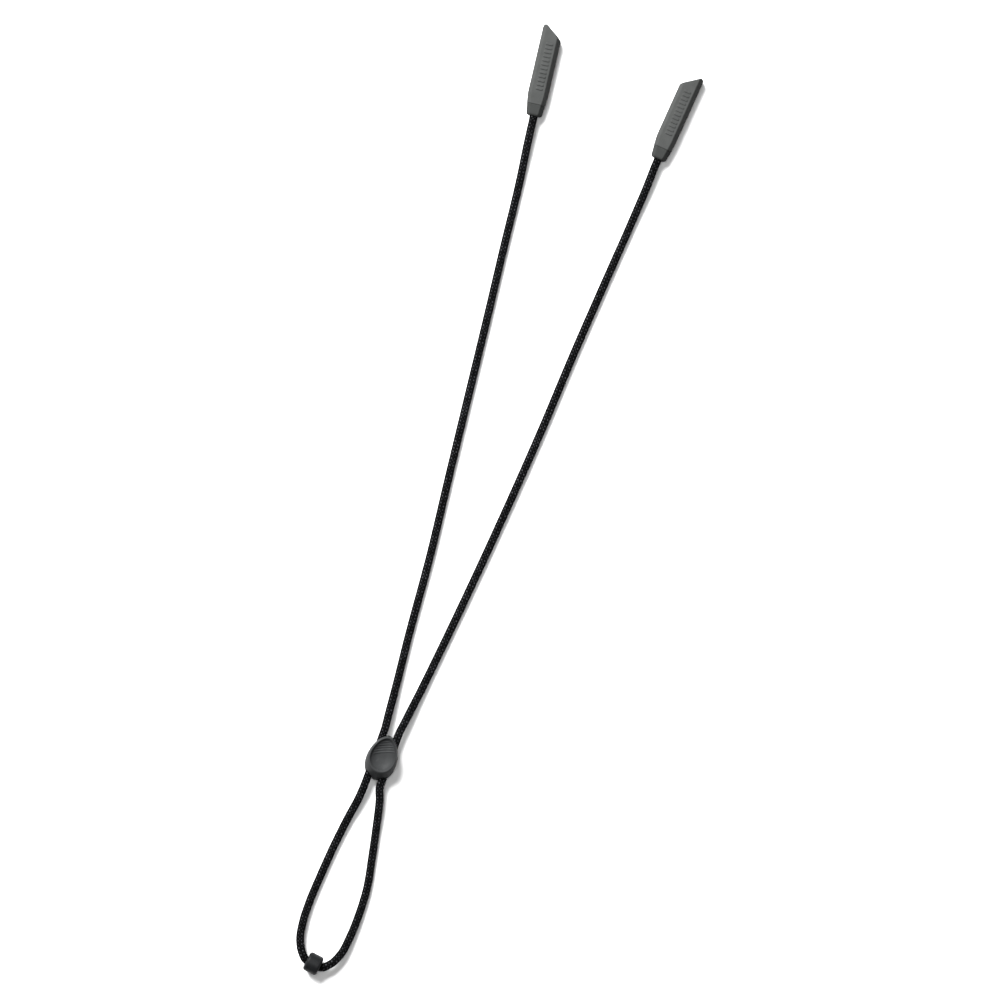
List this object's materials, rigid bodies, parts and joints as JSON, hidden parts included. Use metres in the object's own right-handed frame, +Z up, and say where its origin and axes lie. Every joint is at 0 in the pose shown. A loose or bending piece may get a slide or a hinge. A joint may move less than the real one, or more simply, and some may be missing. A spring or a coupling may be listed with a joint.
{
  "type": "eyewear retainer cord",
  "caption": "Eyewear retainer: braided cord with slant-mouthed rubber temple sleeves, an egg-shaped dished slider and a barrel stop bead at the end of the loop.",
  "frame": {"origin": "middle of the slider's underside, on the surface the retainer lies on", "axes": "+Y along the slider's two cord holes, towards the temple sleeves; +Z up from the surface, out of the dished face; +X to the right when the dish faces the viewer and the sleeves are at the top"},
  "size_m": [0.0656, 0.3757, 0.0084],
  "materials": {
    "slider_plastic": "satin",
    "bead_plastic": "satin",
    "sleeve_rubber": "matte",
    "cap_rubber": "matte",
    "ferrule_brass": "satin",
    "cord_braid": "braided"
  },
  "bodies": {
    "slider": {"slider_body": "slider_plastic", "left_slider_run": "cord_braid", "right_slider_run": "cord_braid"},
    "left_arm": {"left_strand_root": "cord_braid", "left_strand": "cord_braid"},
    "left_temple_end": {"left_sleeve": "sleeve_rubber", "left_end_cap": "cap_rubber", "left_ferrule": "ferrule_brass", "left_cord_tail": "cord_braid"},
    "right_arm": {"right_strand_root": "cord_braid", "right_strand": "cord_braid"},
    "right_temple_end": {"right_sleeve": "sleeve_rubber", "right_end_cap": "cap_rubber", "right_ferrule": "ferrule_brass", "right_cord_tail": "cord_braid"},
    "loop_end": {"loop_bead": "bead_plastic", "bead_run": "cord_braid", "left_loop": "cord_braid", "right_loop": "cord_braid"}
  },
  "joints": [
    {"name": "loop_draw", "type": "slide", "parent": "slider", "child": "loop_end", "axis": [0, -1, 0], "range_m": [-0.035, 0.045], "deforming": ["left_loop", "right_loop"]},
    {"name": "left_swing", "type": "hinge", "parent": "slider", "child": "left_arm", "pos_m": [-0.00285, 0.0096, 0.0036], "axis": [0, 0, 1], "range_deg": [-4, 30], "deforming": ["left_strand_root"]},
    {"name": "right_swing", "type": "hinge", "parent": "slider", "child": "right_arm", "pos_m": [0.00285, 0.0096, 0.0036], "axis": [0, 0, -1], "range_deg": [-4, 30], "deforming": ["right_strand_root"]},
    {"name": "left_draw", "type": "slide", "parent": "left_arm", "child": "left_temple_end", "axis": [0.1101, -0.9939, 0], "range_m": [-0.035, 0.045], "deforming": ["left_strand"]},
    {"name": "right_draw", "type": "slide", "parent": "right_arm", "child": "right_temple_end", "axis": [-0.074, -0.9973, 0], "range_m": [-0.035, 0.045], "deforming": ["right_strand"]}
  ],
  "couplings": [
    {"joint": "left_draw", "follows": "loop_draw", "ratio": 1},
    {"joint": "right_draw", "follows": "loop_draw", "ratio": 1}
  ]
}
